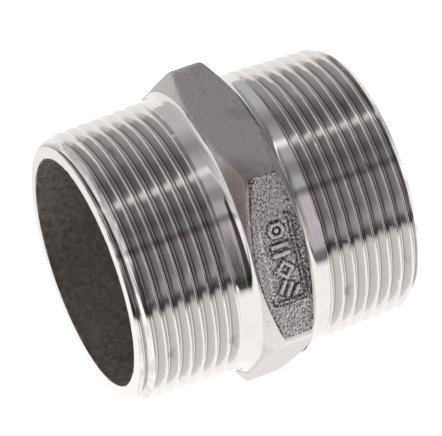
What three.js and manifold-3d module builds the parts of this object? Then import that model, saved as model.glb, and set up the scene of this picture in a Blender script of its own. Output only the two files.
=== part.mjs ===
// Hex nipple, 1 1/2 inch: a short pipe fitting made in one piece, with a taper pipe thread
// at each end, a plain neck beside each thread, a wrench hexagon in the middle and a bore
// right through it. It is an investment casting that is turned and threaded afterwards.
//
// Units are millimetres. X is the bore axis, +Z is up out of one wrench flat, and the
// origin is the centre of the bore. The hexagon's corners point along +Y and -Y.

import * as THREE from "three";
import { mergeVertices } from "three/addons/utils/BufferGeometryUtils.js";
import Module from "manifold-3d";

// Driving dimensions
const TOTAL_LENGTH = 52;
const BORE_DIAMETER = 40.2;

// Taper pipe thread, 11 1/2 threads per inch, taper 1 in 16 on the diameter, right-handed
const THREAD_PITCH = 25.4 / 11.5;
const THREAD_DEPTH = 1.6;
const THREAD_TAPER = 1 / 32;
const CREST_RADIUS_AT_END = 23.55;
const LEAD_IN_RADIUS = 22.45;
const LEAD_IN_SLOPE = 0.5;

// Where the crest of each thread stands: the fraction of a pitch that the helix is moved along
const THREAD_PHASE_PLUS_X = 0.65;
const THREAD_PHASE_MINUS_X = 0.14;

// Plain turned neck between each thread and the hexagon
const NECK_RADIUS = 24.15;
const NECK_END = 8.1;

// Wrench hexagon, chamfered on both sides by a shallow cone, its corners cut to a circle
const ACROSS_FLATS = 50;
const HEX_WIDTH_AT_NECK = 10.6;
const HEX_CHAMFER_SLOPE = 0.56;
const HEX_CORNER_RADIUS = 28.4;

// Marking face: a shallow sunk panel in one flat, with a raised plate that carries plain marks
const MARKING_FACE_ANGLE = 150;
const PANEL_DEPTH = 0.35;
const PANEL_LIP = 0.45;
const PANEL_LENGTH = 27;
const PLATE_WIDTH = 5.6;
const PLATE_LENGTH = 16.4;
const PLATE_OFFSET_ALONG_X = 0.4;
const PLATE_OFFSET_UP_FACE = -1.8;
const PLATE_CORNER_RADIUS = 0.5;
const MARK_HEIGHT = 0.3;
const MARK_RADIUS = 1.6;
const MARK_SPACING = 3.9;
const RING_HOLE_SHARE = 0.6;
const BAR_WIDTH = 0.8;
const BAR_PAIR_GAP = 1.5;
const PIP_RADIUS = 0.45;
const PIP_GAP = 1.4;

// Fineness of the facets
const SEGMENTS = 60;
const PIP_SEGMENTS = 10;
const CORNER_SEGMENTS = 3;

// Small allowances that keep faces from falling on each other in a join or cut
const OVERRUN = 1;
const SINK = 0.2;

const wasm = await Module();
wasm.setup();

// Makes a solid from a closed geometry whose vertices are merged by position
function solidFrom(geometry) {
  const bare = geometry.index ? geometry.toNonIndexed() : geometry.clone();
  bare.deleteAttribute("normal");
  bare.deleteAttribute("uv");
  const merged = mergeVertices(bare, 1e-4);
  const index = merged.index.array;
  const corners = [];
  for (let i = 0; i < index.length; i += 3) {
    const [a, b, c] = index.slice(i, i + 3);
    if (a !== b && b !== c && c !== a) corners.push(a, b, c);
  }
  const vertProperties = new Float32Array(merged.attributes.position.array);
  const triVerts = new Uint32Array(corners);
  return new wasm.Manifold(new wasm.Mesh({ numProp: 3, vertProperties, triVerts }));
}

// Gives a solid back as a geometry
function geometryFrom(solid) {
  const { vertProperties, triVerts } = solid.getMesh();
  const geometry = new THREE.BufferGeometry();
  geometry.setAttribute("position", new THREE.BufferAttribute(vertProperties, 3));
  geometry.setIndex(new THREE.BufferAttribute(triVerts, 1));
  return geometry.toNonIndexed();
}

// Turns a profile of [distance along X, radius] points about the X axis
function turned(profile) {
  const points = profile.map(([x, radius]) => new THREE.Vector2(radius, x));
  return solidFrom(new THREE.LatheGeometry(points, SEGMENTS).rotateZ(-Math.PI / 2));
}

function crestRadius(x) {
  return CREST_RADIUS_AT_END + THREAD_TAPER * (TOTAL_LENGTH / 2 - x);
}

// A solid taper screw along X. Its grid has two rows a pitch, crest and root, and one column
// a facet. A column stands a little further along X than the last one, so the column after
// the last is the first one again, one pitch (two rows) on. A fan to the axis closes each end.
function screwGeometry(startX, turns) {
  const rows = 2 * turns + 1;
  const positions = [];
  const firstInColumn = [];
  for (let column = 0; column < SEGMENTS; column += 1) {
    firstInColumn.push(positions.length / 3);
    const angle = (2 * Math.PI * column) / SEGMENTS;
    const rowsHere = column === 0 ? rows + 2 : rows;
    for (let row = 0; row < rowsHere; row += 1) {
      const x = startX + THREAD_PITCH * (row / 2 + column / SEGMENTS);
      const radius = crestRadius(x) - (row % 2 === 0 ? 0 : THREAD_DEPTH);
      positions.push(x, radius * Math.cos(angle), radius * Math.sin(angle));
    }
  }
  const startCentre = positions.length / 3;
  positions.push(startX, 0, 0);
  const endCentre = startCentre + 1;
  positions.push(startX + THREAD_PITCH * (turns + 1), 0, 0);

  const at = (column, row) => (column < SEGMENTS ? firstInColumn[column] + row : row + 2);
  const index = [];
  for (let column = 0; column < SEGMENTS; column += 1) {
    for (let row = 0; row < rows - 1; row += 1) {
      index.push(at(column, row), at(column + 1, row), at(column + 1, row + 1));
      index.push(at(column, row), at(column + 1, row + 1), at(column, row + 1));
    }
    index.push(startCentre, at(column + 1, 0), at(column, 0));
    index.push(endCentre, at(column, rows - 1), at(column + 1, rows - 1));
  }
  for (let step = 0; step < 2; step += 1) {
    index.push(startCentre, at(0, step), at(0, step + 1));
    index.push(endCentre, at(0, rows + step), at(0, rows - 1 + step));
  }
  const geometry = new THREE.BufferGeometry();
  geometry.setAttribute("position", new THREE.Float32BufferAttribute(positions, 3));
  geometry.setIndex(index);
  return geometry;
}

// The threaded end on the +X side: the screw, cut square at the end face and by its lead-in cone
function threadedEnd(phase) {
  const endX = TOTAL_LENGTH / 2;
  const outside = NECK_RADIUS + OVERRUN;
  const turns = Math.ceil((endX - NECK_END) / THREAD_PITCH) + 3;
  const startX = NECK_END + THREAD_PITCH * (phase - 3);
  const envelope = turned([
    [NECK_END - OVERRUN, 0],
    [NECK_END - OVERRUN, outside],
    [endX - (outside - LEAD_IN_RADIUS) / LEAD_IN_SLOPE, outside],
    [endX, LEAD_IN_RADIUS],
    [endX, 0],
  ]);
  return solidFrom(screwGeometry(startX, turns)).intersect(envelope);
}

function neck() {
  return turned([
    [-NECK_END, 0],
    [-NECK_END, NECK_RADIUS],
    [NECK_END, NECK_RADIUS],
    [NECK_END, 0],
  ]);
}

// The double cone that chamfers the hexagon, made narrower by inset on each side
function chamferCone(inset) {
  const neckX = HEX_WIDTH_AT_NECK / 2 - inset;
  const cornerX = neckX - HEX_CHAMFER_SLOPE * (HEX_CORNER_RADIUS - NECK_RADIUS);
  const rootX = neckX + HEX_CHAMFER_SLOPE * SINK;
  const rootRadius = NECK_RADIUS - SINK;
  return turned([
    [-rootX, 0],
    [-rootX, rootRadius],
    [-cornerX, HEX_CORNER_RADIUS],
    [cornerX, HEX_CORNER_RADIUS],
    [rootX, rootRadius],
    [rootX, 0],
  ]);
}

function roundedRectangle(width, length, radius) {
  const shape = new THREE.Shape();
  const right = width / 2 - radius;
  const top = length / 2 - radius;
  shape.absarc(right, top, radius, 0, Math.PI / 2);
  shape.absarc(-right, top, radius, Math.PI / 2, Math.PI);
  shape.absarc(-right, -top, radius, Math.PI, 1.5 * Math.PI);
  shape.absarc(right, -top, radius, 1.5 * Math.PI, 2 * Math.PI);
  return shape;
}

function regularPolygon(sides, radius) {
  const path = new THREE.Path();
  for (let corner = 0; corner < sides; corner += 1) {
    const angle = (2 * Math.PI * corner) / sides;
    const x = radius * Math.cos(angle);
    const y = radius * Math.sin(angle);
    if (corner === 0) path.moveTo(x, y);
    else path.lineTo(x, y);
  }
  return path;
}

function hexagon() {
  const outline = new THREE.Shape(regularPolygon(6, ACROSS_FLATS / Math.sqrt(3)).getPoints());
  const geometry = new THREE.ExtrudeGeometry(outline, {
    depth: HEX_WIDTH_AT_NECK + OVERRUN,
    bevelEnabled: false,
  });
  geometry.translate(0, 0, -(HEX_WIDTH_AT_NECK + OVERRUN) / 2);
  geometry.rotateX(Math.PI / 2).rotateZ(Math.PI / 2);
  return solidFrom(geometry).intersect(chamferCone(0));
}

// Moves a geometry drawn flat, its X along the bore, its Y up the marking face and its Z out
// of the face, to a height above the floor of the sunk panel
function onMarkingFace(geometry, height) {
  const floor = ACROSS_FLATS / 2 - PANEL_DEPTH;
  geometry.translate(0, 0, floor + height);
  geometry.rotateX(THREE.MathUtils.degToRad(MARKING_FACE_ANGLE - 90));
  return solidFrom(geometry);
}

// What is cut away to sink the panel: a slab with the chamfer's outline, a lip smaller all round
function panelCutter() {
  const slab = new THREE.BoxGeometry(HEX_WIDTH_AT_NECK, PANEL_LENGTH, OVERRUN);
  return onMarkingFace(slab, OVERRUN / 2).intersect(chamferCone(PANEL_LIP));
}

// A flat ring with straight sides
function ringShape(sides) {
  const shape = new THREE.Shape(regularPolygon(sides, MARK_RADIUS).getPoints());
  shape.holes.push(regularPolygon(sides, MARK_RADIUS * RING_HOLE_SHARE));
  return shape;
}

// Extrudes a shape on the plate, its middle at a place across and along the plate
function raised(shape, across, along, height, bottom) {
  const geometry = new THREE.ExtrudeGeometry(shape, {
    depth: height + SINK,
    bevelEnabled: false,
    curveSegments: CORNER_SEGMENTS,
  });
  geometry.translate(PLATE_OFFSET_ALONG_X + across, PLATE_OFFSET_UP_FACE + along, 0);
  return onMarkingFace(geometry, bottom - SINK);
}

// The raised plate with four plain marks that stand for nothing: a hexagon ring round a pip,
// a pair of bars, a diamond ring, and three pips in a row
function markingPlate() {
  const pip = new THREE.Shape(regularPolygon(PIP_SEGMENTS, PIP_RADIUS).getPoints());
  const bar = roundedRectangle(2 * MARK_RADIUS, BAR_WIDTH, BAR_WIDTH / 4);
  const marks = [
    [ringShape(6), 0, 1.5 * MARK_SPACING],
    [pip, 0, 1.5 * MARK_SPACING],
    [bar, 0, (MARK_SPACING + BAR_PAIR_GAP) / 2],
    [bar, 0, (MARK_SPACING - BAR_PAIR_GAP) / 2],
    [ringShape(4), 0, -0.5 * MARK_SPACING],
    [pip, -PIP_GAP, -1.5 * MARK_SPACING],
    [pip, 0, -1.5 * MARK_SPACING],
    [pip, PIP_GAP, -1.5 * MARK_SPACING],
  ];
  const outline = roundedRectangle(PLATE_WIDTH, PLATE_LENGTH, PLATE_CORNER_RADIUS);
  let plate = raised(outline, 0, 0, PANEL_DEPTH, 0);
  for (const [shape, across, along] of marks) {
    plate = plate.add(raised(shape, across, along, MARK_HEIGHT, PANEL_DEPTH));
  }
  return plate;
}

function bore() {
  const end = TOTAL_LENGTH / 2 + OVERRUN;
  const radius = BORE_DIAMETER / 2;
  return turned([
    [-end, 0],
    [-end, radius],
    [end, radius],
    [end, 0],
  ]);
}

// The -X end is the +X end turned half a turn about Z, which keeps its thread right-handed
function nippleBody() {
  const plusEnd = threadedEnd(THREAD_PHASE_PLUS_X);
  const minusEnd = threadedEnd(THREAD_PHASE_MINUS_X).rotate([0, 0, 180]);
  const hex = hexagon().subtract(panelCutter()).add(markingPlate());
  return neck().add(hex).add(plusEnd).add(minusEnd).subtract(bore());
}

const stainlessSteel = new THREE.MeshStandardMaterial({
  color: 0xb4b0ac,
  roughness: 0.3,
  metalness: 1,
});
stainlessSteel.name = "stainless_steel";

const body = new THREE.Mesh(geometryFrom(nippleBody()), stainlessSteel);
body.name = "nipple_body";

const group = new THREE.Group();
group.name = "hex_nipple";
group.add(body);

export default group;
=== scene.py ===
"""Looks of a 1 1/2 inch hex nipple: one stainless casting with two turned taper threads.

The CAD node is one faceted solid. This script replaces it with one closed mesh that has the
thread's real crest, flanks and root, the neck fillets, the soft edges of a casting and the
relief on the marking face. All shapes are worked out in millimetres in the row frame: X is
the bore axis, +Z is up out of a wrench flat, and angles are counted about +X from +Y.
"""
import math

import bmesh
import bpy
import numpy as np
from mathutils import Matrix, Vector, noise


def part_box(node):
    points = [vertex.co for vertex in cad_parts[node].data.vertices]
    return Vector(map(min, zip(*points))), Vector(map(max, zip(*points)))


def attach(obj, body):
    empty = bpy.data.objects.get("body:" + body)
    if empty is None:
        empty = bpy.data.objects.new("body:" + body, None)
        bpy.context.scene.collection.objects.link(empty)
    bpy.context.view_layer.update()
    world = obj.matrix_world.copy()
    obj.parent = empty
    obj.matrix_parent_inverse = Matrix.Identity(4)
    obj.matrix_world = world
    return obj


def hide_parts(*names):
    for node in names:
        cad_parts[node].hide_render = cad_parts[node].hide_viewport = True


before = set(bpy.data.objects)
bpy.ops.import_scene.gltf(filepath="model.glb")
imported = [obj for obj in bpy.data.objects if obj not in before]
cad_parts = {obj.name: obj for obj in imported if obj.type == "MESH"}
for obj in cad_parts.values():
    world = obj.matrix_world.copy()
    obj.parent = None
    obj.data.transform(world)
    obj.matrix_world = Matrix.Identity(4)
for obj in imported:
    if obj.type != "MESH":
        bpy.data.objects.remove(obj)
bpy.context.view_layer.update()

NODE = "nipple_body"
LOW, HIGH = (np.array(corner) * 1000 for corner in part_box(NODE))

# Sizes in millimetres. The length and the width across flats come from the frame.
HALF_LENGTH = (HIGH[0] - LOW[0]) / 2
FLAT_HEIGHT = (HIGH[2] - LOW[2]) / 2

PITCH = 25.4 / 11.5
TAPER = 1 / 32
CREST_AT_END = 23.55
FLANK_ANGLE = math.radians(30)
THREAD_DEPTH = 1.53
CREST_HALF_WIDTH = 0.13
CREST_ROUND = 0.05
ROOT_ROUND = 0.04
LEAD_IN_PLUS_X = (21.95, 0.8)
LEAD_IN_MINUS_X = (22.45, 0.5)
PHASE_PLUS_X = 0.65
PHASE_MINUS_X = 0.14

NECK_RADIUS = 24.15
NECK_END = 8.1
NECK_RING = 6.4
NECK_SLOPE_PLUS_X = 0.0
NECK_SLOPE_MINUS_X = 0.05
RUN_OUT_SLOPE = 1.7

CHAMFER_AT_NECK = 5.28
CHAMFER_SLOPE = 0.56
CORNER_FILLET = 3.2
NECK_FILLET = 1.0
CAST_STEP = 0.1
CAST_STEP_WIDTH = 0.06
CAST_EDGE = 0.5
COARSE_SKIN = (0.03, 4.0)
FINE_SKIN = (0.02, 1.4)
MARKING_EDGE = 0.15
MARKING_EDGE_FADE = (math.radians(30), math.radians(27))

BORE_RADIUS = 20.1
BORE_EDGE = 0.07
BORE_EDGE_WEAR = 0.17
BORE_EDGE_BITES = ((0.12, 0.8), (0.3, 3))
BORE_WAVE = 0.015
BORE_WAVE_SIZE = 5.0

# Nicks and fine wear on the crests, and how the wear fades with depth below the crest
NICKS_PER_MM = 0.9
NICK_START = 0.42
NICK_LIMIT = 0.3
NICK_DEPTH = 0.5
FINE_WEAR_PER_MM = 2.3
FINE_WEAR = 0.012
CREST_WEAR_FADE = (0.3, 0.05)

# The marking face, its sunk panel, and the raised plate with its marks
MARKING_ANGLE = math.radians(150)
PANEL_DEPTH = 0.4
PANEL_DEPTH_AT_TOP = 0.8
PANEL_WALL = 0.14
PANEL_LIP_MINUS_X = (0.05, 0.5)
PANEL_LIP_WIDENS = (-6, 8)
PANEL_TOP = 14.1
PANEL_BOTTOM = -14.1
PANEL_DEEPENS_AT = 5
PANEL_HALF_ANGLE = math.radians(28)
RELIEF_EDGE = 0.1
PLATE_CENTRE = (0.3, -0.75)
PLATE_HALF = (2.8, 7.15)
PLATE_CORNER = 0.5
PLATE_HEIGHT = 0.2
RIM_HEIGHT = 0.22
RIM_HALF_WIDTH = 0.2
MARK_HEIGHT = 0.4
MARK_RADIUS = 1.6
DIAMOND_RADIUS = 1.8
RING_WIDTH = 0.62
BAR_WIDTH = 0.8
BAR_CORNER = 0.2
BAR_PAIR_GAP = 1.5
PIP_RADIUS = 0.45
SLANT = math.radians(35)
SLANTED_BAR_HALF = (1 / 3, 1.3)
SLANTED_BARS_GAP = 1.25
MARK_SPACING = 3.45
MARKING_GRAIN = 0.085
MARKING_GRAIN_SIZE = (0.2, 0.34)
GRAIN_FADE = (-0.05, 0.15)
GRAIN_LOST_ON_MARKS = 0.4

# Tones run from -1, light with burnished metal and painted highlight, through 0 to 1, dark with
# dirt and painted shade. A pair that ends in FADE says where a tone begins and where it is full.
# Painted shade in the grooves: the lower half of each flank darkens by FLANK_SHADE, and the feet
# darken most.
FOOT_PAINTED_SHADE = 0.78
FOOT_FADE = (0.82, 0.9)
FLANK_SHADE = 0.26
# Painted highlight: a thin bright line along each thread crest.
CREST_PAINTED_HIGHLIGHT = 0.22
CREST_HIGHLIGHT_FADE = (0.06, 0.02)
SMUDGE_DIRT = 0.5
SMUDGES_PER_MM = 0.3
SMUDGE_FADE = (0.42, 0.62)
SMUDGE_DEPTH_FADE = (0.1, 0.5)
# The thread's painted shade and painted highlight are weaker on the lower half, which is lit brighter;
# THREAD_UNDERSIDE_FADE is where that half begins.
PAINTED_LIGHT_WEAKER_BELOW = 0.55
THREAD_UNDERSIDE_FADE = (math.radians(144), math.radians(152))
LEAD_IN_STREAKS = (4.0, 9.0)
LEAD_IN_CONTRAST = 1.1
LEAD_IN_TONE = 0.02
LEAD_IN_TONES = (-0.6, 0.2)

# Tones of the cast faces
EDGE_DIRT = 0.1
EDGE_SPECKLE = 1.2
EDGE_SPECKLE_SIZE = 0.35
BLOTCH_DIRT = 0.3
BLOTCH_SIZE = 5.0
BLOTCH_FADE = (0.1, 0.7)
STAIN_MIDDLE = (-4.6, -14.2, 23.0)
STAIN_DIRT = 0.75
STAIN_FADE = (7.5, 2)
STAINED_CHAMFER_DIRT = 0.9
STAINED_CHAMFER_FADE = (-2.5, -4.5)
STAINED_CHAMFER_STARTS = (math.radians(115), math.radians(127))
STAINED_CHAMFER_ENDS = (math.radians(138), math.radians(150))
# Painted light on the cast faces underneath, for the floor's reflection; the stains are left off
# there.
CAST_UNDERSIDE_FADE = (math.radians(146), math.radians(160))
LOWEST_FLAT_PAINTED_LIGHT = 0.6
LOWEST_FLAT_ENDS = math.radians(-172)
UNDERSIDE_PAINTED_LIGHT = 0.35
BORE_RIM_DIRT = 0.3
BORE_RIM_SPECKLE = 0.8
BORE_RIM_SPECKLE_SIZE = 0.9
BORE_RIM_FADE = (1.5, 0.3)

# Tones of the marking face, which has painted shade at the feet of its walls, its plate and its marks
# Painted shade in the sunk panel: a band at the foot of the -X wall, wider near the top, a dark notch
# where it meets the top wall, and a band below the top wall.
WALL_FOOT_WIDTH = 0.5
WALL_FOOT_WIDER_AT_TOP = 0.5
WALL_FOOT_SOFTNESS = 0.25
NOTCH_FADE = (2.0, 1.0)
TOP_FOOT_SHADE = 0.8
TOP_FOOT_FADE = (0.5, 0.2)
# Painted shade at the feet of the plate's rim, strongest on the +X and -Y sides, where the plate casts
# its shadow.
SHADOWED_X_FADE = (1.5, 2.3)
SHADOWED_Y_FADE = (-6.0, -6.6)
SHADE_ON_LIT_SIDES = 0.3
RIM_FOOT_OFFSET = 0.2
RIM_INNER_FADE = (0.42, 0.12)
RIM_OUTER_FADE = (0.4, 0.15)
# Painted shade at the feet of the marks.
MARK_FOOT_FADE = (0.5, 0.2)
MARK_FOOT_START = -0.05
# The marks are rubbed bright only where there is almost no painted shade on them.
MARK_SHINE = 0.5
MARK_FREE_OF_SHADE = 0.1
# Painted shadow on the panel beside the plate's +X side.
BESIDE_PLATE_SHADOW = 0.4
BESIDE_PLATE_X_FADE = (2.6, 3.1)
BESIDE_PLATE_Y_FADE = (8.5, 6.5)
GRAIN_TONE = 2.3

# Fineness of the mesh. The thread's rows reach a little past both ends of the thread, in pitches.
ROWS_INTO_NECK = 1.1
ROWS_PAST_END = 1.15
ROWS_GAP = 0.1
ROWS_CLOSE_IN = 0.45
SAME_SURFACE = 0.02
FILLET_ROWS = 8
CHAMFER_ROWS = 5
EDGE_ROWS = 3
FLANK_ROWS = (0, 0.05, *FOOT_FADE, 1)
THREAD_COLUMNS = 180
MARKING_COLUMNS = 220
PLAIN_FACE_COLUMNS = 26
FLAT_ROWS = 76
BORE_ROWS = 20
BORE_ROWS_START = 2
BORE_RIM_ROWS = (0.3, 0.8)
SHARP_ANGLE = math.radians(38)
CROSSING_STEPS = 2400
SEED = Vector((3.1, 7.7, 1.9))
SKIN_LAYERS = 3

FINISHES = ("machined", "cast", "marking", "bore")


def smoothstep(low, high, value):
    """0 below low, 1 above high, with a smooth rise between."""
    t = np.clip((value - low) / (high - low), 0, 1)
    return t * t * (3 - 2 * t)


class Surface:
    """Points in millimetres, and faces that each name the finish they show.

    A point's tone runs from -1, light with burnished metal and painted highlight, through 0 to 1, dark
    with dirt and painted shade."""

    def __init__(self):
        self.points = []
        self.tones = []
        self.faces = []
        self.finishes = []

    def add_points(self, array, tone=0.0):
        """Adds an array of points (..., 3) and returns their numbers in the same layout."""
        flat = np.asarray(array, float).reshape(-1, 3)
        first = len(self.points)
        self.points.extend(map(tuple, flat))
        self.tones.extend(np.broadcast_to(tone, np.shape(array)[:-1]).ravel())
        return np.arange(first, first + len(flat)).reshape(np.shape(array)[:-1])

    def add_face(self, corners, finish):
        self.faces.append(tuple(int(c) for c in corners))
        self.finishes.append(FINISHES.index(finish))

    def add_grid(self, ids, finish, closed=True):
        """Quads between rows and columns of ids; a closed grid joins its last column to its first."""
        rows, columns = ids.shape
        for column in range(columns if closed else columns - 1):
            beside = (column + 1) % columns
            for row in range(rows - 1):
                self.add_face((ids[row, column], ids[row, beside], ids[row + 1, beside],
                               ids[row + 1, column]), finish)

    def stitch(self, ids_a, angles_a, ids_b, angles_b, finish):
        """Triangles between two lines of points, each taken on by whichever angle comes next."""
        a = b = 0
        while a < len(ids_a) - 1 or b < len(ids_b) - 1:
            a_next = angles_a[a + 1] if a < len(ids_a) - 1 else math.inf
            b_next = angles_b[b + 1] if b < len(ids_b) - 1 else math.inf
            if a_next <= b_next:
                self.add_face((ids_a[a], ids_a[a + 1], ids_b[b]), finish)
                a += 1
            else:
                self.add_face((ids_a[a], ids_b[b + 1], ids_b[b]), finish)
                b += 1


def around(x, radius, angle):
    """Points at a distance along X, a radius and an angle, each a number or an array."""
    x, radius, angle = np.broadcast_arrays(x, radius, angle)
    return np.stack([x, radius * np.cos(angle), radius * np.sin(angle)], axis=-1)


def smooth_noise(points, per_mm):
    """One layer of noise, about -1 to 1, at an array of points."""
    values = [noise.noise(Vector(p) * per_mm + SEED) for p in points.reshape(-1, 3)]
    return np.array(values).reshape(points.shape[:-1])


def layered_noise(points, layers):
    """Noise in finer and finer layers, about -1 to 1, at an array of points."""
    values = [noise.fractal(Vector(p) + SEED, 1.0, 2.0, layers) for p in points.reshape(-1, 3)]
    return np.array(values).reshape(points.shape[:-1])


def cast_grain(points, amplitude, size):
    """Uneven height of an as-cast skin at an array of points."""
    return amplitude * layered_noise(points / size, SKIN_LAYERS)


# ---------------------------------------------------------------- threads

def tooth_outline():
    """Half a thread from its crest to the next root: places along X and depths below the crest.

    The crest and the root are short flats, joined to the flank by small rounds."""
    tilt = math.pi / 2 - FLANK_ANGLE
    root_half_width = PITCH / 2 - CREST_HALF_WIDTH - THREAD_DEPTH * math.tan(FLANK_ANGLE)
    crest_flat = CREST_HALF_WIDTH - CREST_ROUND * math.tan(tilt / 2)
    root_flat = PITCH / 2 - root_half_width + ROOT_ROUND * math.tan(tilt / 2)
    top = np.array([crest_flat + CREST_ROUND * math.sin(tilt), CREST_ROUND * (1 - math.cos(tilt))])
    foot = np.array([root_flat - ROOT_ROUND * math.sin(tilt),
                     THREAD_DEPTH - ROOT_ROUND * (1 - math.cos(tilt))])
    flank = [top + (foot - top) * share for share in FLANK_ROWS]
    return np.array([(crest_flat, 0), *flank, (root_flat, THREAD_DEPTH), (PITCH / 2, THREAD_DEPTH)]).T


TOOTH_PLACES, TOOTH_DEPTHS = tooth_outline()
TOOTH_ROWS = np.concatenate([-TOOTH_PLACES[::-1], TOOTH_PLACES[:-1]]) / PITCH


def thread_depth(x, turn, phase):
    """Depth below the crest of the thread alone, turn being the angle as a share of a full turn."""
    place = (x - NECK_END) / PITCH - phase - turn
    from_crest = np.abs(np.mod(place + 0.5, 1) - 0.5)
    return np.interp(from_crest * PITCH, TOOTH_PLACES, TOOTH_DEPTHS)


def thread_radius(x, turn, phase):
    return CREST_AT_END + TAPER * (HALF_LENGTH - x) - thread_depth(x, turn, phase)


class End:
    """What differs between the two ends: side is 1 or -1, lead_in the cone's last radius and slope."""

    def __init__(self, side, phase, neck_slope, lead_in):
        self.side = side
        self.phase = phase
        self.neck_slope = neck_slope
        self.lead_in = lead_in

    def lead_in_radius(self, x):
        last_radius, slope = self.lead_in
        return last_radius + slope * (HALF_LENGTH - x)

    def run_out_radius(self, x):
        """The neck, very slightly conical, and the slope that ends the grooves beside it."""
        neck = NECK_RADIUS - self.neck_slope * np.maximum(x - NECK_RING, 0)
        return neck - RUN_OUT_SLOPE * np.maximum(x - NECK_END, 0)

    def radius(self, x, turn):
        cut = np.minimum(thread_radius(x, turn, self.phase), self.lead_in_radius(x))
        return np.maximum(self.run_out_radius(x), cut)


ENDS = (
    End(1, PHASE_PLUS_X, NECK_SLOPE_PLUS_X, LEAD_IN_PLUS_X),
    End(-1, PHASE_MINUS_X, NECK_SLOPE_MINUS_X, LEAD_IN_MINUS_X),
)


def crossings(first, second, x):
    """Where two curves cross, as distances along X."""
    gap = first(x) - second(x)
    hit = np.nonzero(np.sign(gap[1:]) != np.sign(gap[:-1]))[0]
    return x[hit] + (x[hit + 1] - x[hit]) * gap[hit] / (gap[hit] - gap[hit + 1])


def snap_rows(x, turn, end):
    """Moves the nearest row of one column onto each edge that the rows would cut across."""
    fine = np.linspace(NECK_END + 1e-4, HALF_LENGTH, CROSSING_STEPS)

    def thread(value):
        return thread_radius(value, turn, end.phase)

    edges = [NECK_END, HALF_LENGTH]
    edges.extend(crossings(thread, end.lead_in_radius, fine))
    edges.extend(crossings(thread, end.run_out_radius, fine[fine < NECK_END + PITCH])[:1])
    for edge in edges:
        x[np.argmin(np.abs(x - edge))] = edge


def threaded_end(surface, end):
    """One end, from a line inside the neck to the bore's edge. Its rows follow the helix.

    The -X end is made as a +X end and turned half a turn about Z, which keeps it right-handed.
    Returns the neck line and the bore ring, by rising angle before that turn.
    """
    steps = len(TOOTH_ROWS)
    phase = end.phase
    pitches = range(-3, math.ceil((HALF_LENGTH - NECK_END) / PITCH) + 3)
    shares = np.array([n + place for n in pitches for place in TOOTH_ROWS])
    turns = np.arange(THREAD_COLUMNS) / THREAD_COLUMNS
    at_start = NECK_END + PITCH * (shares + phase)
    in_reach = at_start > NECK_END - ROWS_INTO_NECK * PITCH
    in_reach &= at_start < HALF_LENGTH + ROWS_PAST_END * PITCH
    shares = shares[in_reach]
    rows = int(np.sum(at_start[in_reach] < HALF_LENGTH + ROWS_GAP)) + 1
    shares = shares[:rows + steps]

    x = NECK_END + PITCH * (shares[:, None] + phase + turns[None, :])
    squeeze = (NECK_END - NECK_RING - ROWS_GAP) / (ROWS_INTO_NECK * PITCH)
    x = np.where(x < NECK_END, NECK_END - (NECK_END - x) * squeeze, x)
    for column, turn in enumerate(turns):
        snap_rows(x[:, column], turn, end)
    angles = 2 * math.pi * turns
    place = np.minimum(x, HALF_LENGTH)
    radius = end.radius(place, turns) - ROWS_CLOSE_IN * np.maximum(x - HALF_LENGTH, 0)
    points = around(place, radius, angles)
    depth = thread_depth(x, turns, phase)
    on_thread = np.abs(radius - thread_radius(x, turns, phase)) < SAME_SURFACE
    on_thread &= (x > NECK_END) & (x < HALF_LENGTH)
    on_lead_in = (np.abs(radius - end.lead_in_radius(x)) < SAME_SURFACE) & (x < HALF_LENGTH)
    tone = on_thread * thread_tone(points, depth, end.side)
    tone = np.where(on_lead_in, lead_in_tone(points), tone)
    worn = on_thread * smoothstep(*CREST_WEAR_FADE, depth) * crest_wear(points)
    points = around(place, radius - worn, angles)
    bore_ring = around(HALF_LENGTH, BORE_RADIUS, angles)
    bore_ring = around(HALF_LENGTH, BORE_RADIUS + bore_edge_wear(bore_ring), angles)
    if end.side < 0:
        points = points * (-1, -1, 1)
        bore_ring = bore_ring * (-1, -1, 1)

    ids = surface.add_points(points[:rows], tone[:rows])
    seam = np.concatenate([ids[:, 0], surface.add_points(points[rows:, 0], tone[rows:, 0])])
    bore_ids = surface.add_points(bore_ring)
    surface.add_grid(ids, "machined", closed=False)
    for row in range(rows - 1):
        surface.add_face((ids[row, -1], seam[row + steps], seam[row + steps + 1], ids[row + 1, -1]),
                         "machined")

    # the end face: a fan beside the seam, then triangles between the last row and the bore
    last = rows - 1
    path = [*seam[last:last + steps + 1], bore_ids[0]]
    for here, there in zip(path, path[1:]):
        surface.add_face((ids[last, 1], there, here), "machined")
    round_again = [*turns[1:], 1.0]
    surface.stitch([*bore_ids, bore_ids[0]], [turns[1] / 2, *round_again],
                   [*ids[last, 1:], seam[last + steps]], round_again, "machined")
    return ids, seam, bore_ids, turns


def thread_tone(points, depth, side):
    """Painted shade that darkens the flanks towards the feet of the grooves, a painted highlight on
    the crests, and a few dark smudges of dirt.
    """
    share = depth / THREAD_DEPTH
    shade = FLANK_SHADE * np.maximum(2 * share - 1, 0)
    crest = smoothstep(*CREST_HIGHLIGHT_FADE, depth)
    foot = smoothstep(*FOOT_FADE, share)
    smudge = smoothstep(*SMUDGE_FADE, smooth_noise(points, SMUDGES_PER_MM))
    smudge = smudge * smoothstep(*SMUDGE_DEPTH_FADE, depth)
    above_root = share < 1 - 1e-6
    tone = np.where(above_root, shade + (FOOT_PAINTED_SHADE - shade) * foot, 0.0)
    below = underside(points * (side, side, 1), THREAD_UNDERSIDE_FADE)
    tone = (1 - PAINTED_LIGHT_WEAKER_BELOW * below) * (tone - CREST_PAINTED_HIGHLIGHT * crest)
    return tone + (SMUDGE_DIRT - tone) * smudge


def underside(points, fade):
    """1 underneath and 0 on top; fade is on the -Y side. It marks the lower half, on which the light
    falls more brightly, for the painted light and shade.
    """
    angle = np.arctan2(points[..., 2], points[..., 1])
    return np.where(angle < 0, 1.0, smoothstep(*fade, angle))


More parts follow.
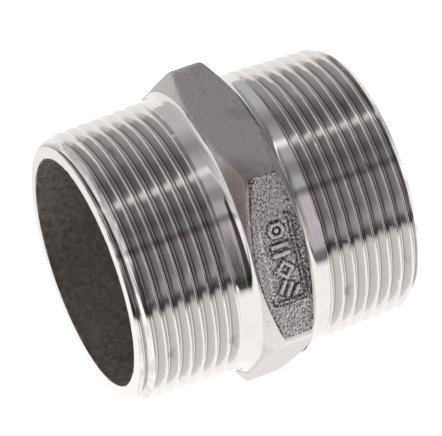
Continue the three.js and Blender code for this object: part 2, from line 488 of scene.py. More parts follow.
def lead_in_tone(points):
    """Streaks that run round the lead-in cone, some rubbed bright and some dark."""
    along, about = LEAD_IN_STREAKS
    angle = np.arctan2(points[..., 2], points[..., 1])
    places = around(along * points[..., 0], about, angle)
    tone = LEAD_IN_CONTRAST * layered_noise(places, 2) + LEAD_IN_TONE
    return np.clip(tone, *LEAD_IN_TONES)


def crest_wear(points):
    """Metal lost from the crests: hardly any, with a few small nicks."""
    nicks = np.clip(smooth_noise(points, NICKS_PER_MM) - NICK_START, 0, NICK_LIMIT)
    fine = np.abs(smooth_noise(points, FINE_WEAR_PER_MM))
    return NICK_DEPTH * nicks + FINE_WEAR * fine


def bore_edge_wear(points):
    """Width of the uneven bevel that is left where the end face is turned across the cast bore."""
    bites = sum(size * smooth_noise(points, per_mm) for size, per_mm in BORE_EDGE_BITES)
    return BORE_EDGE + np.clip(bites, 0, BORE_EDGE_WEAR)


# ---------------------------------------------------------------- hexagon

def face_angle(angle):
    """Angle from the middle of the nearest wrench flat."""
    sixth = math.pi / 3
    return np.mod(angle - math.pi / 2 + sixth / 2, sixth) - sixth / 2


def hexagon_radius(angle):
    """Radius of the hexagon with its corners rounded."""
    from_middle = np.abs(face_angle(angle))
    tangent = (FLAT_HEIGHT - CORNER_FILLET) * math.tan(math.pi / 6)
    from_corner = math.pi / 6 - from_middle
    centre = (FLAT_HEIGHT - CORNER_FILLET) / math.cos(math.pi / 6)
    reach = np.sqrt(np.maximum(CORNER_FILLET**2 - (centre * np.sin(from_corner)) ** 2, 0))
    rounded = centre * np.cos(from_corner) + reach
    flat = FLAT_HEIGHT / np.cos(from_middle)
    return np.where(FLAT_HEIGHT * np.tan(from_middle) < tangent, flat, rounded)


def hexagon_columns():
    """Angles of the columns: fine over the marking face, plain over the others."""
    half_width = FLAT_HEIGHT * math.tan(math.pi / 6)
    angles = []
    for face in range(6):
        middle = math.pi / 6 + face * math.pi / 3
        marked = abs(middle - MARKING_ANGLE) < 0.1
        count = MARKING_COLUMNS if marked else PLAIN_FACE_COLUMNS
        across = np.linspace(-half_width, half_width, count, endpoint=False)
        angles.extend(middle + np.arctan(across / FLAT_HEIGHT))
    return np.array(angles)


def bend(start, corner, end, count):
    """Points on a smooth bend from start to end that a sharp corner would make, ends left out."""
    t = np.linspace(0, 1, count + 2)[1:-1, None, None]
    return (1 - t) ** 2 * start + 2 * t * (1 - t) * corner + t**2 * end


def edge_softness(angles):
    """How far the bend between chamfer and flat reaches; it is tight beside the marking face."""
    marking = smoothstep(*MARKING_EDGE_FADE, np.abs(angles - MARKING_ANGLE))
    return CAST_EDGE + (MARKING_EDGE - CAST_EDGE) * marking


def hexagon_profile(angles):
    """Rows of (x, radius) for the +X half, from the neck ring to the edge of the flat."""
    def row(x, radius):
        return np.stack(np.broadcast_arrays(x, radius, angles)[:2], axis=-1)[None]

    slant = math.hypot(1, CHAMFER_SLOPE)
    foot = row(CHAMFER_AT_NECK, NECK_RADIUS)
    up = np.array([-CHAMFER_SLOPE, 1]) / slant
    fillet_end = foot + NECK_FILLET * up
    edge_radius = hexagon_radius(angles)
    edge = row(CHAMFER_AT_NECK - CHAMFER_SLOPE * (edge_radius - NECK_RADIUS), edge_radius)
    lift = np.array([1, CHAMFER_SLOPE]) / slant * CAST_STEP
    step = fillet_end + CAST_STEP_WIDTH * up + lift
    softness = edge_softness(angles)[None, :, None]
    chamfer_end = edge - softness * up
    flat_start = edge - softness * np.array([1, 0])
    shares = np.linspace(0, 1, CHAMFER_ROWS + 1)[1:, None, None]
    fillet_start = foot + np.array([NECK_FILLET, 0])
    fillet = np.concatenate([row(NECK_RING, NECK_RADIUS), fillet_start,
                             bend(fillet_start, foot, fillet_end, FILLET_ROWS), fillet_end])
    cast = np.concatenate([step, step + (chamfer_end - step) * shares,
                           bend(chamfer_end, edge, flat_start, EDGE_ROWS)])
    return fillet, cast, flat_start


def rounded_box(x, y, half_x, half_y, corner):
    """Distance outside a rectangle with round corners, negative inside."""
    past_x = np.abs(x) - half_x + corner
    past_y = np.abs(y) - half_y + corner
    outside = np.hypot(np.maximum(past_x, 0), np.maximum(past_y, 0))
    return outside + np.minimum(np.maximum(past_x, past_y), 0) - corner


def polygon_ring(x, y, sides, radius, width):
    """Distance outside a ring with straight sides, negative inside its band."""
    sector = 2 * math.pi / sides
    turn = np.mod(np.arctan2(y, x), sector) - sector / 2
    from_edge = np.hypot(x, y) * np.cos(turn) - radius * math.cos(sector / 2)
    return np.abs(from_edge + width / 2) - width / 2


def mark_distance(x, y):
    """Distance outside the plate's plain marks, x and y counted from the plate's middle.

    From the top: a hexagon ring with a pip, a pair of bars, a diamond ring, three slanted bars."""
    hexagon_y, bars_y, diamond_y, slanted_y = (
        y - place * MARK_SPACING for place in (1.5, 0.5, -0.5, -1.5)
    )
    marks = [polygon_ring(x, hexagon_y, 6, MARK_RADIUS, RING_WIDTH),
             np.hypot(x, hexagon_y) - PIP_RADIUS,
             polygon_ring(x, diamond_y, 4, DIAMOND_RADIUS, RING_WIDTH)]
    for side in (-1, 1):
        bar_y = bars_y - side * BAR_PAIR_GAP / 2
        marks.append(rounded_box(x, bar_y, MARK_RADIUS, BAR_WIDTH / 2, BAR_CORNER))
    along = x * math.sin(SLANT) + slanted_y * math.cos(SLANT)
    across = x * math.cos(SLANT) - slanted_y * math.sin(SLANT)
    for number in (-1, 0, 1):
        bar_across = across - number * SLANTED_BARS_GAP
        marks.append(rounded_box(bar_across, along, *SLANTED_BAR_HALF, BAR_CORNER))
    return np.minimum.reduce(marks)


def corner_drop(y):
    """How far the rounded corner lies below the plane of the flat, y up the face from its middle."""
    into_corner = np.maximum(np.abs(y) - (FLAT_HEIGHT - CORNER_FILLET) * math.tan(math.pi / 6), 0)
    return CORNER_FILLET - np.sqrt(CORNER_FILLET**2 - into_corner**2)


class MarkingFace:
    """Distances over the marking face, from which its relief and its painted shade are worked out.

    x runs along the bore and y up the face; edge_x is where each column's flat ends."""

    def __init__(self, x, y, edge_x):
        low_lip, high_lip = PANEL_LIP_MINUS_X
        lip = low_lip + (high_lip - low_lip) * smoothstep(*PANEL_LIP_WIDENS, y)
        self.y = y
        self.below_top = PANEL_TOP - y
        self.from_minus_wall = edge_x - lip + x
        self.inside = np.minimum.reduce([self.from_minus_wall, edge_x - x,
                                         self.below_top, y - PANEL_BOTTOM])
        self.near_top = smoothstep(PANEL_DEEPENS_AT, PANEL_TOP, y)
        self.plate_x = x - PLATE_CENTRE[0]
        self.plate_y = y - PLATE_CENTRE[1]
        self.off_plate = rounded_box(self.plate_x, self.plate_y, *PLATE_HALF, PLATE_CORNER)
        self.off_marks = mark_distance(self.plate_x, self.plate_y)
        self.mark = smoothstep(RELIEF_EDGE, -RELIEF_EDGE, self.off_marks)

    def height(self):
        """Height over the plain flat: the sunk panel, the plate, its rim and its marks."""
        depth = PANEL_DEPTH + (PANEL_DEPTH_AT_TOP - PANEL_DEPTH) * self.near_top
        panel = np.maximum(depth - corner_drop(self.y), 0) * smoothstep(0, PANEL_WALL, self.inside)
        plate = smoothstep(RELIEF_EDGE, -RELIEF_EDGE, self.off_plate)
        rim = smoothstep(RIM_HALF_WIDTH + RELIEF_EDGE, RIM_HALF_WIDTH - RELIEF_EDGE,
                         np.abs(self.off_plate))
        return PLATE_HEIGHT * plate + RIM_HEIGHT * rim + MARK_HEIGHT * self.mark - panel

    def grain(self):
        """Share of the cast grain; the marks are smoother than the panel."""
        return smoothstep(*GRAIN_FADE, self.inside) * (1 - GRAIN_LOST_ON_MARKS * self.mark)

    def wall_shade(self):
        """Painted shade at the foot of the -X wall and the top wall, most of it where they meet."""
        width = WALL_FOOT_WIDTH + WALL_FOOT_WIDER_AT_TOP * self.near_top
        wall_foot = smoothstep(width, width - WALL_FOOT_SOFTNESS, self.from_minus_wall)
        notch = smoothstep(*NOTCH_FADE, np.hypot(self.from_minus_wall, self.below_top))
        top_foot = TOP_FOOT_SHADE * smoothstep(*TOP_FOOT_FADE, self.below_top)
        return np.maximum.reduce([wall_foot, notch, top_foot]) * (self.inside > 0)

    def plate_shade(self):
        """Painted shade on both sides of the plate's rim, most on its +X and -Y sides, which lie in
        shadow, and a painted shadow beside its +X side.
        """
        shadowed = np.maximum(smoothstep(*SHADOWED_X_FADE, self.plate_x),
                               smoothstep(*SHADOWED_Y_FADE, self.plate_y))
        offset = RIM_HALF_WIDTH + RIM_FOOT_OFFSET
        inner_foot = smoothstep(*RIM_INNER_FADE, np.abs(self.off_plate + offset))
        inner_foot = inner_foot * (SHADE_ON_LIT_SIDES + (1 - SHADE_ON_LIT_SIDES) * shadowed)
        outer_foot = smoothstep(*RIM_OUTER_FADE, np.abs(self.off_plate - offset)) * shadowed
        beside = BESIDE_PLATE_SHADOW * smoothstep(*BESIDE_PLATE_X_FADE, self.plate_x)
        beside = beside * smoothstep(*BESIDE_PLATE_Y_FADE, np.abs(self.plate_y))
        return np.maximum.reduce([inner_foot, outer_foot, beside])

    def tone(self):
        """Painted shade at every foot, and marks that are rubbed bright where they are free of it."""
        mark_foot = smoothstep(*MARK_FOOT_FADE, self.off_marks) * (self.off_marks > MARK_FOOT_START)
        dirt_and_shade = np.maximum.reduce([self.wall_shade(), self.plate_shade(), mark_foot])
        return dirt_and_shade - MARK_SHINE * self.mark * (dirt_and_shade < MARK_FREE_OF_SHADE)


def cast_skin(points):
    """Soft unevenness of a casting, for an array of points."""
    return cast_grain(points, *COARSE_SKIN) + cast_grain(points, *FINE_SKIN)


def stain_and_underside_light(points):
    """Tone of the cast skin: brown blotches, a stained chamfer and patch by the marking face's
    upper -X corner, and painted light underneath, where the faces take the glowing floor's reflection."""
    blotches = BLOTCH_DIRT * smoothstep(*BLOTCH_FADE, cast_grain(points, 1.0, BLOTCH_SIZE))
    angle = np.arctan2(points[..., 2], points[..., 1])
    chamfer = smoothstep(*STAINED_CHAMFER_STARTS, angle) - smoothstep(*STAINED_CHAMFER_ENDS, angle)
    chamfer = STAINED_CHAMFER_DIRT * chamfer * smoothstep(*STAINED_CHAMFER_FADE, points[..., 0])
    patch = STAIN_DIRT * smoothstep(*STAIN_FADE, np.linalg.norm(points - STAIN_MIDDLE, axis=-1))
    below = underside(points, CAST_UNDERSIDE_FADE)
    # Painted light underneath, stronger from the fade round to LOWEST_FLAT_ENDS than on the rest of
    # the underside.
    painted_light = np.where((angle < 0) & (angle > LOWEST_FLAT_ENDS), UNDERSIDE_PAINTED_LIGHT, LOWEST_FLAT_PAINTED_LIGHT)
    return np.maximum.reduce([blotches, chamfer, patch]) * (1 - below) - painted_light * below


def hexagon_section(surface):
    """The hexagon with its chamfers and neck fillets; returns its two outer rings."""
    angles = hexagon_columns()
    fillet, cast, flat_start = hexagon_profile(angles)
    edge_x = flat_start[0, :, 0]
    shares = np.linspace(1, -1, FLAT_ROWS)[:, None]
    flat_x = edge_x * shares
    flat_radius = np.broadcast_to(hexagon_radius(angles), flat_x.shape)

    flat = around(flat_x, flat_radius, angles)
    local = np.abs(angles - MARKING_ANGLE) < math.pi / 6
    normal = np.array([0, math.cos(MARKING_ANGLE), math.sin(MARKING_ANGLE)])
    up_face = np.array([0, math.sin(MARKING_ANGLE), -math.cos(MARKING_ANGLE)])
    x, y = flat_x[:, local], (flat @ up_face)[:, local]
    face = MarkingFace(x, y, (edge_x + edge_softness(angles))[local])
    wrinkles = np.stack([x / MARKING_GRAIN_SIZE[0], y / MARKING_GRAIN_SIZE[1], 0 * y], axis=-1)
    grain = cast_grain(wrinkles, 1.0, 1.0) * face.grain()
    tone = stain_and_underside_light(flat)
    tone[:, local] = face.tone() - GRAIN_TONE * grain
    lift = np.zeros(flat_x.shape)
    lift[:, local] = face.height() + MARKING_GRAIN * grain
    lift *= smoothstep(0, RELIEF_EDGE, edge_x - np.abs(flat_x))
    flat = flat + lift[..., None] * normal
    outward = around(0, 1, angles)
    flat = flat + cast_skin(flat)[..., None] * outward

    rings = {}
    rows = np.concatenate([fillet, cast])
    beside_panel = np.abs(angles - MARKING_ANGLE) < PANEL_HALF_ANGLE
    for side in (1, -1):
        points = around(side * rows[..., 0], rows[..., 1], angles)
        points[len(fillet):] += cast_skin(points[len(fillet):])[..., None] * outward
        dirt_and_shade = stain_and_underside_light(points)
        dirt_and_shade[:len(fillet)] = 0
        edge = dirt_and_shade[-EDGE_ROWS:]
        lip = EDGE_DIRT + cast_grain(points[-EDGE_ROWS:], EDGE_SPECKLE, EDGE_SPECKLE_SIZE)
        dirt_and_shade[-EDGE_ROWS:] = np.where(beside_panel, np.minimum(edge, lip), edge)
        rings[side] = surface.add_points(points, dirt_and_shade)
    flat_ids = surface.add_points(flat, tone)
    for side, ids in rings.items():
        surface.add_grid(ids[:len(fillet)], "machined")
        surface.add_grid(ids[len(fillet) - 1:], "cast")
        edge = flat_ids[0] if side > 0 else flat_ids[-1]
        surface.add_grid(np.stack([ids[-1], edge]), "cast")
    for column in range(len(angles)):
        beside = (column + 1) % len(angles)
        finish = "marking" if local[column] and local[beside] else "cast"
        surface.add_grid(flat_ids[:, [column, beside]], finish, closed=False)
    return angles, {side: ids[0] for side, ids in rings.items()}


# ---------------------------------------------------------------- whole body

def join_neck(surface, side, hex_ids, hex_angles, ids, seam, turns):
    """Closes the neck between the hexagon's ring and the first row of the thread."""
    steps = len(TOOTH_ROWS)
    own = hex_angles if side > 0 else math.pi - hex_angles
    own = np.mod(own / (2 * math.pi) + 1e-9, 1) - 1e-9
    order = np.argsort(own)
    ring = [*hex_ids[order], hex_ids[order[0]]]
    ring_turns = [*own[order], 1.0]
    surface.stitch(ring, ring_turns, list(ids[0]), list(turns), "machined")
    path = [ring[0], *seam[:steps + 1]]
    for here, there in zip(path, path[1:]):
        surface.add_face((ids[0, -1], here, there), "machined")


def bore_wall(surface, plus_ring, minus_ring):
    """The bore, cast and a little uneven, between the two end faces."""
    count = THREAD_COLUMNS
    minus_ring = minus_ring[(count // 2 - np.arange(count)) % count]
    angles = 2 * math.pi * np.arange(count) / count
    plus_edge, minus_edge = (
        np.hypot(*np.array([surface.points[number][1:] for number in ring]).T) - BORE_RADIUS
        for ring in (plus_ring, minus_ring)
    )
    rim_rows = HALF_LENGTH - np.array(BORE_RIM_ROWS)
    reach = HALF_LENGTH - BORE_ROWS_START
    inner = [*rim_rows, *np.linspace(reach, -reach, BORE_ROWS), *-rim_rows[::-1]]
    x = np.stack([HALF_LENGTH - plus_edge, *np.outer(inner, np.ones(count)), minus_edge - HALF_LENGTH])
    points = around(x, BORE_RADIUS, angles)
    wave = cast_grain(points, BORE_WAVE, BORE_WAVE_SIZE)
    points = points + wave[..., None] * around(0, 1, angles)
    speckle = cast_grain(points, BORE_RIM_SPECKLE, BORE_RIM_SPECKLE_SIZE)
    near_edge = smoothstep(*BORE_RIM_FADE, HALF_LENGTH - np.abs(x))
    ids = surface.add_points(points, near_edge * (BORE_RIM_DIRT + speckle))
    surface.add_grid(np.stack([plus_ring, ids[0]]), "bore")
    surface.add_grid(ids, "bore")
    surface.add_grid(np.stack([ids[-1], minus_ring]), "bore")


def nipple_mesh():
    """The whole body as one mesh in metres, with its finishes and its tone."""
    surface = Surface()
    hex_angles, hex_rings = hexagon_section(surface)
    bore_rings = {}
    for end in ENDS:
        ids, seam, bore_rings[end.side], turns = threaded_end(surface, end)
        join_neck(surface, end.side, hex_rings[end.side], hex_angles, ids, seam, turns)
    bore_wall(surface, bore_rings[1], bore_rings[-1])

    mesh = bpy.data.meshes.new("hex_nipple")
    mesh.from_pydata([tuple(c / 1000 for c in p) for p in surface.points], [], surface.faces)
    mesh.polygons.foreach_set("material_index", surface.finishes)
    mesh.attributes.new("tone", "FLOAT", "POINT").data.foreach_set("value", surface.tones)
    return mesh


def finish_mesh(mesh):
    """Turns every face outward, makes sure that the body is closed, and smooths it between its
    sharp edges."""
    work = bmesh.new()
    work.from_mesh(mesh)
    bmesh.ops.recalc_face_normals(work, faces=work.faces)
    open_edges = [e for e in work.edges if not e.is_manifold]
    if open_edges:
        raise RuntimeError(f"{len(open_edges)} edges of the body are open")
    for face in work.faces:
        face.smooth = True
    work.to_mesh(mesh)
    work.free()
    mesh.set_sharp_from_angle(angle=SHARP_ANGLE)


# ---------------------------------------------------------------- materials

# Noise values mostly lie in the first range; the second makes the tones' mixing patchy
NOISE_RANGE = (0.3, 0.7)
PATCHY_RANGE = (0.35, 0.6)
LEAST_PATCHY = 0.8


def new_material(name):
    """A new material, metallic to begin with, and its shader."""
    material = bpy.data.materials.new(name)
    material.use_nodes = True
    nodes = material.node_tree.nodes
    nodes.clear()
    output = nodes.new("ShaderNodeOutputMaterial")
    shader = nodes.new("ShaderNodeBsdfPrincipled")
    material.node_tree.links.new(shader.outputs["BSDF"], output.inputs["Surface"])
    shader.inputs["Metallic"].default_value = 1.0
    return material, shader


def noise_node(material, scale, axis_factors=(1, 1, 1), detail=4.0):
    """A noise texture along the row axes: its scale is per metre, times a factor for each axis."""
    nodes, links = material.node_tree.nodes, material.node_tree.links
    place = nodes.new("ShaderNodeTexCoord")
    mapping = nodes.new("ShaderNodeMapping")
    mapping.inputs["Scale"].default_value = axis_factors
    texture = nodes.new("ShaderNodeTexNoise")
    texture.inputs["Scale"].default_value = scale
    texture.inputs["Detail"].default_value = detail
    links.new(place.outputs["Object"], mapping.inputs["Vector"])
    links.new(mapping.outputs["Vector"], texture.inputs["Vector"])
    return texture


def ramp(material, source, low, high, start=NOISE_RANGE[0], end=NOISE_RANGE[1]):
    """A colour ramp over a texture's value."""
    nodes, links = material.node_tree.nodes, material.node_tree.links
    node = nodes.new("ShaderNodeValToRGB")
    node.color_ramp.elements[0].position = start
    node.color_ramp.elements[0].color = (*low, 1)
    node.color_ramp.elements[1].position = end
    node.color_ramp.elements[1].color = (*high, 1)
    links.new(source.outputs["Fac"], node.inputs["Fac"])
    return node


def roughness_range(material, shader, source, low, high):
    """Sets the roughness between two values, by a texture."""
    nodes, links = material.node_tree.nodes, material.node_tree.links
    node = nodes.new("ShaderNodeMapRange")
    node.inputs["From Min"].default_value = NOISE_RANGE[0]
    node.inputs["From Max"].default_value = NOISE_RANGE[1]
    node.inputs["To Min"].default_value = low
    node.inputs["To Max"].default_value = high
    links.new(source.outputs["Fac"], node.inputs["Value"])
    links.new(node.outputs["Result"], shader.inputs["Roughness"])


def bump(material, shader, source, strength, distance, under=None, output="Fac"):
    """Small relief from a texture, distance in metres, on top of another bump if one is given."""
    nodes, links = material.node_tree.nodes, material.node_tree.links
    node = nodes.new("ShaderNodeBump")
    node.inputs["Strength"].default_value = strength
    node.inputs["Distance"].default_value = distance
    links.new(source.outputs[output], node.inputs["Height"])
    if under is not None:
        links.new(under.outputs["Normal"], node.inputs["Normal"])
    links.new(node.outputs["Normal"], shader.inputs["Normal"])
    return node


def toned(material, shader, colour, texture, dirt_and_shade, burnished_and_highlight):
    """Sets the base colour from a colour node, mixed by the mesh's tone towards a dark colour, for
    dirt and painted shade, and towards a light one, for burnished metal and painted highlight. The
    texture makes that mixing patchy."""
    nodes, links = material.node_tree.nodes, material.node_tree.links
    tone = nodes.new("ShaderNodeAttribute")
    tone.attribute_name = "tone"
    patchy = nodes.new("ShaderNodeMapRange")
    patchy.inputs["From Min"].default_value = PATCHY_RANGE[0]
    patchy.inputs["From Max"].default_value = PATCHY_RANGE[1]
    patchy.inputs["To Min"].default_value = LEAST_PATCHY
    links.new(texture.outputs["Fac"], patchy.inputs["Value"])
    result = colour.outputs["Color"]
    for limit, target in ((1.0, dirt_and_shade), (-1.0, burnished_and_highlight)):
        share = nodes.new("ShaderNodeMapRange")
        share.inputs["From Max"].default_value = limit
        links.new(tone.outputs["Fac"], share.inputs["Value"])
        links.new(patchy.outputs["Result"], share.inputs["To Max"])
        mix = nodes.new("ShaderNodeMix")
        mix.data_type = "RGBA"
        mix.inputs["B"].default_value = (*target, 1)
        links.new(share.outputs["Result"], mix.inputs["Factor"])
        links.new(result, mix.inputs["A"])
        result = mix.outputs["Result"]
    links.new(result, shader.inputs["Base Color"])


def machined_steel():
    """Turned stainless: bright, with fine rings round the axis."""
    material, shader = new_material("machined_steel")
    links = material.node_tree.links
    patches = noise_node(material, scale=900.0)
    colour = ramp(material, patches, low=(0.645, 0.63, 0.625), high=(0.69, 0.68, 0.675))
    toned(material, shader, colour, patches, dirt_and_shade=(0.16, 0.14, 0.13), burnished_and_highlight=(0.93, 0.91, 0.90))
    rings = noise_node(material, scale=400.0, axis_factors=(16, 1, 1), detail=2.0)
    roughness_range(material, shader, rings, low=0.09, high=0.16)
    bump(material, shader, rings, strength=0.5, distance=0.00001)
    tangent = material.node_tree.nodes.new("ShaderNodeTangent")
    tangent.direction_type = "RADIAL"
    tangent.axis = "X"
    links.new(tangent.outputs["Tangent"], shader.inputs["Tangent"])
    shader.inputs["Anisotropic"].default_value = 0.6
    shader.inputs["Anisotropic Rotation"].default_value = 0.25
    return material


def cast_steel():
    """Blasted investment casting: satin, with fine grain and a few pimples."""
    material, shader = new_material("cast_steel")
    grain = noise_node(material, scale=2600.0, detail=3.0)
    colour = ramp(material, grain, low=(0.40, 0.38, 0.38), high=(0.55, 0.525, 0.525))
    toned(material, shader, colour, grain, dirt_and_shade=(0.17, 0.135, 0.13), burnished_and_highlight=(0.82, 0.80, 0.79))
    roughness_range(material, shader, grain, low=0.38, high=0.52)
    lumps = noise_node(material, scale=1100.0, detail=1.0)
    pimples = ramp(material, lumps, low=(0, 0, 0), high=(1, 1, 1), start=0.62, end=0.74)
    under = bump(material, shader, grain, strength=1.0, distance=0.00009)
    bump(material, shader, pimples, strength=0.7, distance=0.00012, under=under, output="Color")
    return material


def marking_steel():
    """The marking face, as cast: wrinkled, with darker hollows."""
    material, shader = new_material("marking_steel")
    grain = noise_node(material, scale=3600.0)
    colour = ramp(material, grain, low=(0.5, 0.47, 0.47), high=(0.9, 0.86, 0.87), start=0.36, end=0.62)
    toned(material, shader, colour, grain, dirt_and_shade=(0.07, 0.055, 0.05), burnished_and_highlight=(0.95, 0.92, 0.92))
    roughness_range(material, shader, grain, low=0.34, high=0.5)
    bump(material, shader, grain, strength=0.9, distance=0.00012)
    return material


def bore_steel():
    """The cast bore: dull, with a dark skin left by the shell."""
    material, shader = new_material("bore_steel")
    grain = noise_node(material, scale=1300.0, detail=5.0)
    colour = ramp(material, grain, low=(0.22, 0.205, 0.19), high=(0.42, 0.39, 0.37))
    toned(material, shader, colour, grain, dirt_and_shade=(0.13, 0.085, 0.06), burnished_and_highlight=(0.6, 0.57, 0.54))
    roughness_range(material, shader, grain, low=0.5, high=0.7)
    bump(material, shader, grain, strength=0.5, distance=0.00008)
    return material


# ---------------------------------------------------------------- studio

# Sizes here are in metres, but the lens and the sensor in millimetres
CAMERA_AZIMUTH = math.radians(25.07)
CAMERA_ELEVATION = math.radians(46.0)
CAMERA_DISTANCE = 0.58294
CAMERA_ROLL = math.radians(-0.787)
CAMERA_TARGET = Vector((-0.00011, 0.0008, 0.00066))
CAMERA_LENS = 279.6
CAMERA_SENSOR = 36.0

# The table is white and glows, and ends a little way in front of the nipple
FLOOR_REACH = 3.0
FLOOR_FRONT = 0.285
FLOOR_FADE = 0.12
FLOOR_GLOW = 1.14
FLOOR_GLOW_AT_FRONT = 0.25
FLOOR_GLOW_BEHIND = 0.93
FLOOR_BEHIND = 0.05
FLOOR_COLOUR = (0.35, 0.35, 0.34)
FLOOR_ROUGHNESS = 0.9
FLOOR_LIGHT = (1.0, 0.985, 0.965)
BACKDROP = (1.2, 1.2, 1.2)

# The room round the table, by angle about X from the back horizon over the top to the front
WALL = (0.66, 0.65, 0.645)
SHADE = (0.36, 0.35, 0.345)
STRIP_LIGHT = (1.02, 1.0, 0.99)
CEILING = (0.58, 0.565, 0.565)
FRAME_BAR = (0.25, 0.235, 0.24)
FRONT_WALL = (0.83, 0.765, 0.81)
GAP = (0.06, 0.055, 0.055)
LOW_GLOW = (0.26, 0.245, 0.245)
ROOM = (
    (-176, GAP), (-4, GAP), (-1, WALL), (40, WALL), (60, SHADE), (64, SHADE), (78, CEILING),
    (99, CEILING), (104, SHADE), (111, SHADE), (115, CEILING), (123.5, WALL), (125.5, FRAME_BAR),
    (128, FRAME_BAR), (133, FRONT_WALL), (164, FRONT_WALL), (174, CEILING), (181, GAP),
)
DARK = (0.0, 0.0, 0.0)
LAMPS = (
    (-180, LOW_GLOW), (-175, LOW_GLOW), (-172, DARK), (81, DARK), (83, STRIP_LIGHT), (87, STRIP_LIGHT),
    (89.5, DARK), (166, DARK), (176, LOW_GLOW), (180, LOW_GLOW),
)

# The lamps lie askew, by LAMP_TILT degrees for each unit of a direction's x, and are brighter
# towards +X
LAMP_TILT = 18.0
LAMP_TILT_FROM_X = 0.3
LAMP_RISE = 2.3
LAMP_LEAST = 0.3

# How bright the room is from its left end, x = -1, to its right end, x = 1
SIDES = ((-1.0, 1.7), (-0.75, 1.6), (-0.5, 1.1), (0.3, 1.0), (0.39, 0.7), (0.65, 0.53), (1.0, 0.35))

# The dark opening that the camera looks in through: headings from -Y towards +X, and its top
OPENING_LEFT = math.radians(-46)
OPENING_RIGHT = math.radians(14.5)
OPENING_TOP = math.radians(66)
OPENING_EDGE = math.radians(3)
OPENING_DARKNESS = 0.92


def make_camera():
    """The scene's camera, on a line through its target and rolled a little about that line."""
    data = bpy.data.cameras.new("camera")
    data.lens = CAMERA_LENS
    data.sensor_width = CAMERA_SENSOR
    camera = bpy.data.objects.new("camera", data)
    bpy.context.scene.collection.objects.link(camera)
    level = math.cos(CAMERA_ELEVATION)
    looking = Vector((level * math.sin(CAMERA_AZIMUTH), level * math.cos(CAMERA_AZIMUTH),
                      -math.sin(CAMERA_ELEVATION)))
    turn = looking.to_track_quat("-Z", "Y").to_matrix() @ Matrix.Rotation(CAMERA_ROLL, 3, "Z")
    camera.matrix_world = Matrix.Translation(CAMERA_TARGET - looking * CAMERA_DISTANCE) @ turn.to_4x4()
    bpy.context.scene.camera = camera


class NodeMaker:
    """Short ways to add nodes to a material or a world."""

    def __init__(self, tree):
        self.tree = tree

    def new(self, kind, **inputs):
        node = self.tree.nodes.new(kind)
        for name, source in inputs.items():
            self.tree.links.new(source, node.inputs[name])
        return node

    def maths(self, operation, *values):
        node = self.tree.nodes.new("ShaderNodeMath")
        node.operation = operation
        for socket, value in zip(node.inputs, values):
            if isinstance(value, (int, float)):
                socket.default_value = value
            else:
                self.tree.links.new(value, socket)
        return node.outputs["Value"]

    def fade(self, value, start, width, low, high):
        """Goes from low to high as value goes on by width from start."""
        node = self.new("ShaderNodeMapRange", Value=value)
        node.inputs["From Min"].default_value = start
        node.inputs["From Max"].default_value = start + width
        node.inputs["To Min"].default_value = low
        node.inputs["To Max"].default_value = high
        return node.outputs["Result"]

    def soft_edge(self, value, edge, width):
        """0 where value is well below edge, 1 where it is well above."""
        node = self.new("ShaderNodeMapRange", Value=value)
        node.interpolation_type = "SMOOTHSTEP"
        node.inputs["From Min"].default_value = edge - width / 2
        node.inputs["From Max"].default_value = edge + width / 2
        return node.outputs["Result"]

    def ramp(self, value, stops):
        """Colours by a value from 0 to 1; stops are (place, colour)."""
        node = self.new("ShaderNodeValToRGB", Fac=value)
        elements = node.color_ramp.elements
        elements.remove(elements[-1])
        for number, (place, colour) in enumerate(stops):
            element = elements[0] if number == 0 else elements.new(place)
            element.position = place
            element.color = (*colour, 1)
        return node.outputs["Color"]


def floor_material():
    """A white that glows. Its glow fades in places for the steel; to the camera it is all white."""
    material, shader = new_material("floor_white")
    shader.inputs["Metallic"].default_value = 0.0
    shader.inputs["Base Color"].default_value = (*FLOOR_COLOUR, 1)
    shader.inputs["Roughness"].default_value = FLOOR_ROUGHNESS
    shader.inputs["Emission Color"].default_value = (*FLOOR_LIGHT, 1)
    nodes = NodeMaker(material.node_tree)
    place = nodes.new("ShaderNodeTexCoord").outputs["Object"]
    y = nodes.new("ShaderNodeSeparateXYZ", Vector=place).outputs["Y"]
    front = nodes.fade(y, -FLOOR_FRONT, FLOOR_FADE, FLOOR_GLOW_AT_FRONT, FLOOR_GLOW)
    behind = nodes.fade(y, 0, FLOOR_BEHIND, 0, FLOOR_GLOW - FLOOR_GLOW_BEHIND)
    glow = nodes.maths("SUBTRACT", front, behind)
    seen = nodes.new("ShaderNodeLightPath").outputs["Is Camera Ray"]
    strength = nodes.maths("MULTIPLY_ADD", seen, FLOOR_GLOW, glow)
    nodes.tree.links.new(strength, shader.inputs["Emission Strength"])
    return material


def make_floor():
    """The table, a single face at the height of the nipple's lowest flat."""
    mesh = bpy.data.meshes.new("floor")
    base = LOW[2] / 1000
    sides = ((-FLOOR_REACH, -FLOOR_FRONT), (FLOOR_REACH, -FLOOR_FRONT),
             (FLOOR_REACH, FLOOR_REACH), (-FLOOR_REACH, FLOOR_REACH))
    mesh.from_pydata([(x, y, base) for x, y in sides], [], [(0, 1, 2, 3)])
    mesh.materials.append(floor_material())
    floor = bpy.data.objects.new("floor", mesh)
    bpy.context.scene.collection.objects.link(floor)


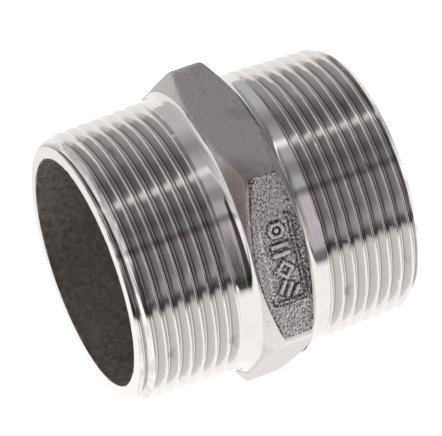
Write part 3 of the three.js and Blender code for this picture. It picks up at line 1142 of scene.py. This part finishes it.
def make_room():
    """The room as the steel reflects it. The camera itself sees only a white backdrop."""
    world = bpy.data.worlds.new("room")
    bpy.context.scene.world = world
    world.use_nodes = True
    world.node_tree.nodes.clear()
    nodes = NodeMaker(world.node_tree)
    direction = nodes.new("ShaderNodeTexCoord").outputs["Generated"]
    split = nodes.new("ShaderNodeSeparateXYZ", Vector=direction)
    x, y, z = (split.outputs[axis] for axis in "XYZ")

    about_x = nodes.maths("ARCTAN2", z, y)
    share = nodes.maths("MULTIPLY_ADD", about_x, 1 / (2 * math.pi), 0.5)
    bands = nodes.ramp(share, [(degrees / 360 + 0.5, colour) for degrees, colour in ROOM])
    turned = nodes.maths("MULTIPLY_ADD", x, LAMP_TILT / 360, -LAMP_TILT_FROM_X * LAMP_TILT / 360)
    lamps = nodes.ramp(nodes.maths("ADD", share, turned),
                       [(degrees / 360 + 0.5, colour) for degrees, colour in LAMPS])
    lamp_level = nodes.maths("MAXIMUM", nodes.maths("MULTIPLY", x, LAMP_RISE), LAMP_LEAST)
    along_x = nodes.maths("MULTIPLY_ADD", x, 0.5, 0.5)
    sides = nodes.ramp(along_x, [(place / 2 + 0.5, (level,) * 3) for place, level in SIDES])

    heading = nodes.maths("ARCTAN2", x, nodes.maths("MULTIPLY", y, -1.0))
    right_of_left = nodes.soft_edge(heading, OPENING_LEFT, OPENING_EDGE)
    right_of_right = nodes.soft_edge(heading, OPENING_RIGHT, OPENING_EDGE)
    above = nodes.soft_edge(nodes.maths("ARCSINE", z), OPENING_TOP, OPENING_EDGE)
    across = nodes.maths("SUBTRACT", right_of_left, right_of_right)
    opening = nodes.maths("MULTIPLY", across, nodes.maths("SUBTRACT", 1.0, above))
    light = nodes.maths("MULTIPLY_ADD", opening, -OPENING_DARKNESS, 1.0)

    level = nodes.new("ShaderNodeVectorMath")
    level.operation = "MULTIPLY_ADD"
    lit = nodes.new("ShaderNodeVectorMath")
    lit.operation = "SCALE"
    nodes.tree.links.new(lamps, lit.inputs[0])
    nodes.tree.links.new(lamp_level, lit.inputs["Scale"])
    for socket, colour in zip(level.inputs, (bands, sides, lit.outputs["Vector"])):
        nodes.tree.links.new(colour, socket)
    room = nodes.new("ShaderNodeBackground", Color=level.outputs["Vector"], Strength=light)
    backdrop = nodes.new("ShaderNodeBackground")
    backdrop.inputs["Color"].default_value = (*BACKDROP, 1)
    seen = nodes.new("ShaderNodeLightPath").outputs["Is Camera Ray"]
    mix = nodes.new("ShaderNodeMixShader", Fac=seen)
    nodes.tree.links.new(room.outputs["Background"], mix.inputs[1])
    nodes.tree.links.new(backdrop.outputs["Background"], mix.inputs[2])
    nodes.new("ShaderNodeOutputWorld", Surface=mix.outputs["Shader"])


# ---------------------------------------------------------------- making it

make_camera()
make_floor()
make_room()
bpy.context.scene.view_settings.view_transform = "Standard"

nipple_data = nipple_mesh()
for make in (machined_steel, cast_steel, marking_steel, bore_steel):
    nipple_data.materials.append(make())
finish_mesh(nipple_data)
nipple = bpy.data.objects.new("hex_nipple", nipple_data)
bpy.context.scene.collection.objects.link(nipple)
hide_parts(NODE)
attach(nipple, "root")
